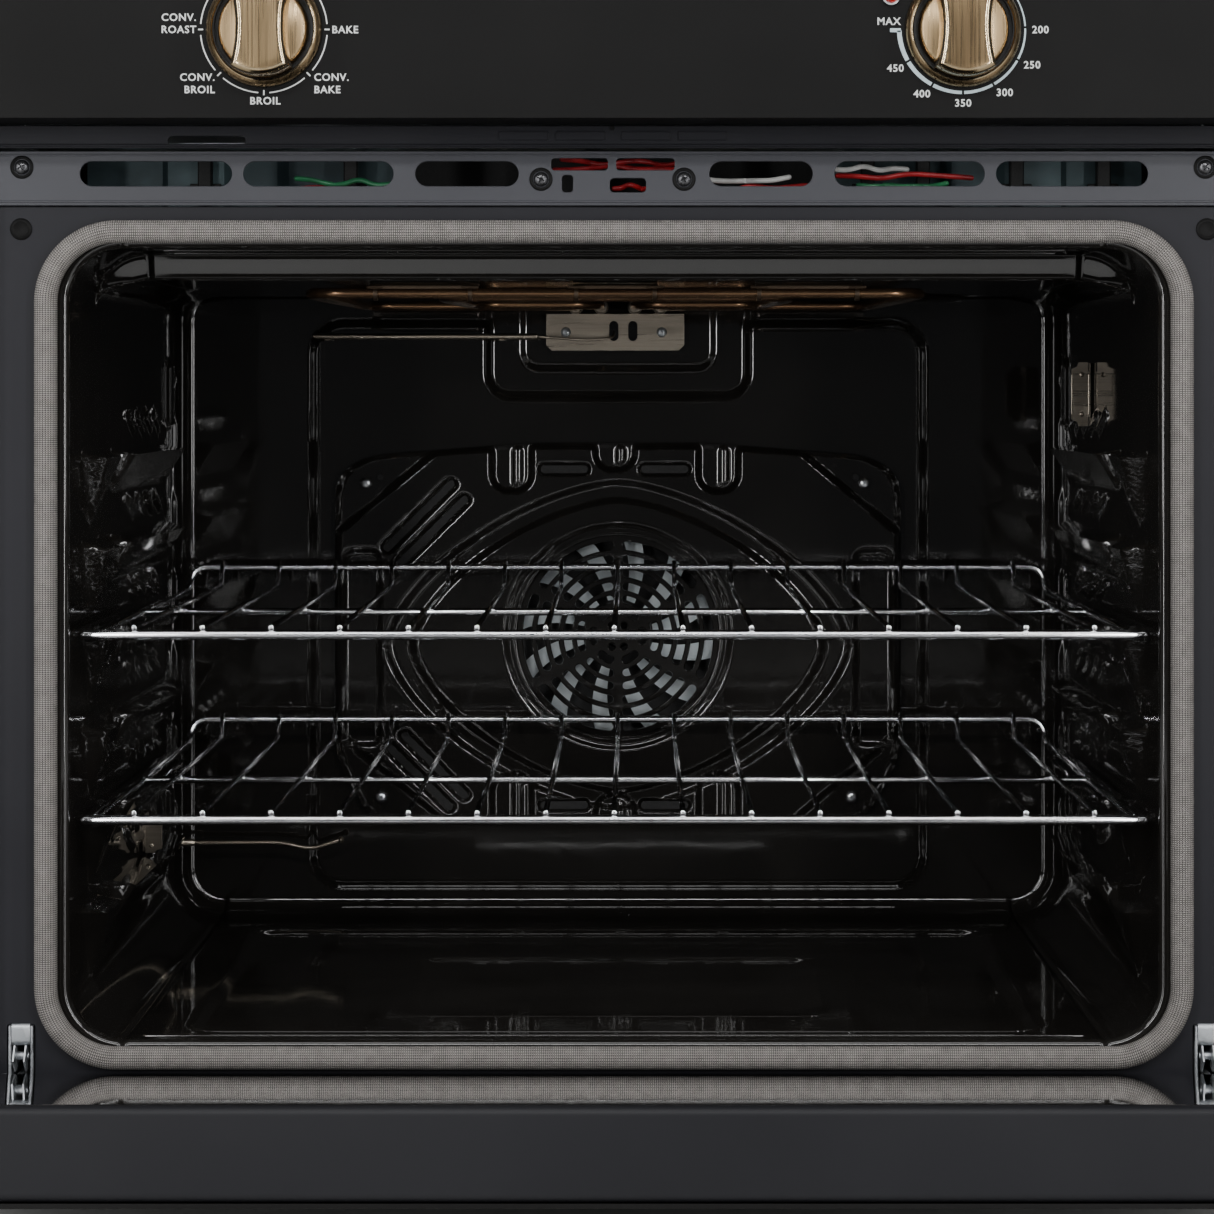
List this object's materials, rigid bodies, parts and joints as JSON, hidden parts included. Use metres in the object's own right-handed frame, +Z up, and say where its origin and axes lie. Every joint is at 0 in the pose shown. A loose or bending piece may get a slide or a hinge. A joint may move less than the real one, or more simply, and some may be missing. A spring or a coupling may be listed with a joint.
{
  "type": "wall oven",
  "caption": "Built-in electric wall oven: drop-down glass door, enamelled convection cavity with wire racks, and a control fascia with rotary knobs.",
  "frame": {"origin": "centre of the underside of the base pan, where the oven rests on the cabinet shelf", "axes": "+X to the right and -Y out of the oven's front, as one faces it; +Z up"},
  "size_m": [0.756, 1.1476, 0.71],
  "materials": {
    "zinc": "galvanised sheet and zinc-plated fittings",
    "charcoal_paint": "satin charcoal powder coat with a faint blue cast",
    "black_paint": "fine-grained satin black",
    "enamel": "glossy black porcelain enamel",
    "stainless": "stainless steel with a light heat tint",
    "chrome": "bright chrome wire",
    "antique_bronze": "vertically brushed antique bronze",
    "element_sheath": "heat-tinted tubular element",
    "glass_fibre": "braided glass-fibre tube",
    "mineral_wool": "mineral wool blanket",
    "dark_glass": "glossy tinted glass",
    "clear_glass": "clear lamp glass",
    "red_lens": "glossy red lens",
    "white_plastic": "moulded phenolic"
  },
  "bodies": {
    "chassis": {"base_pan": "zinc", "left_side_panel": "zinc", "right_side_panel": "zinc", "rear_panel": "zinc", "top_cover": "zinc", "control_housing": "zinc", "fan_motor": "zinc", "lamp_housing": "zinc", "blower_housing": "zinc", "terminal_box": "zinc", "conduit_gland": "zinc", "hinge_receiver_left": "zinc", "hinge_receiver_right": "zinc", "hinge_arm_left": "zinc", "hinge_arm_right": "zinc", "front_frame": "charcoal_paint", "left_mounting_trim": "charcoal_paint", "right_mounting_trim": "charcoal_paint", "bottom_vent_trim": "charcoal_paint", "vent_strip": "charcoal_paint", "duct_lip": "black_paint", "control_fascia": "black_paint", "cavity_flange": "enamel", "cavity_left_wall": "enamel", "cavity_right_wall": "enamel", "cavity_ceiling": "enamel", "cavity_floor": "enamel", "cavity_back": "enamel", "fan_baffle": "enamel", "broil_flange": "stainless", "broil_hanger": "stainless", "thermostat_bulb": "stainless", "temperature_probe": "stainless", "wall_clip_upper": "stainless", "wall_clip_lower": "stainless", "function_bezel": "antique_bronze", "temperature_bezel": "antique_bronze", "broil_element": "element_sheath", "bake_element": "element_sheath", "convection_element": "element_sheath", "door_gasket": "glass_fibre", "insulation": "mineral_wool", "lamp_lens": "clear_glass", "pilot_lens": "red_lens", "function_switch": "white_plastic", "thermostat_body": "white_plastic"},
    "door": {"door_inner_glass": "dark_glass", "door_outer_panel": "black_paint", "door_window": "dark_glass", "door_top_trim": "charcoal_paint", "door_bottom_trim": "charcoal_paint", "door_rail_left": "zinc", "door_rail_right": "zinc", "door_handle": "antique_bronze"},
    "upper_rack": {"upper_rack": "chrome"},
    "lower_rack": {"lower_rack": "chrome"},
    "function_knob": {"function_knob": "antique_bronze"},
    "temperature_knob": {"temperature_knob": "antique_bronze"},
    "fan_wheel": {"fan_wheel": "zinc"},
    "blower_wheel": {"blower_wheel": "zinc"}
  },
  "joints": [
    {"name": "door_hinge", "type": "hinge", "parent": "chassis", "child": "door", "pos_m": [0, -0.3105, 0.062], "axis": [-1, 0, 0], "range_deg": [0, 79.6], "stiffness_Nm_per_rad": 10, "springref_deg": 91.67},
    {"name": "upper_rack_slide", "type": "slide", "parent": "chassis", "child": "upper_rack", "axis": [0, 1, 0], "range_m": [-0.32, 0]},
    {"name": "lower_rack_slide", "type": "slide", "parent": "chassis", "child": "lower_rack", "axis": [0, 1, 0], "range_m": [-0.32, 0]},
    {"name": "function_knob_turn", "type": "hinge", "parent": "chassis", "child": "function_knob", "pos_m": [-0.1925, -0.3405, 0.6533], "axis": [0, 1, 0], "continuous": true},
    {"name": "temperature_knob_turn", "type": "hinge", "parent": "chassis", "child": "temperature_knob", "pos_m": [0.1925, -0.3405, 0.6533], "axis": [0, 1, 0], "range_deg": [0, 270]},
    {"name": "fan_spin", "type": "hinge", "parent": "chassis", "child": "fan_wheel", "pos_m": [0, 0.198, 0.2816], "axis": [0, 1, 0], "continuous": true},
    {"name": "blower_spin", "type": "hinge", "parent": "chassis", "child": "blower_wheel", "pos_m": [0, 0.142, 0.612], "axis": [1, 0, 0], "continuous": true}
  ]
}
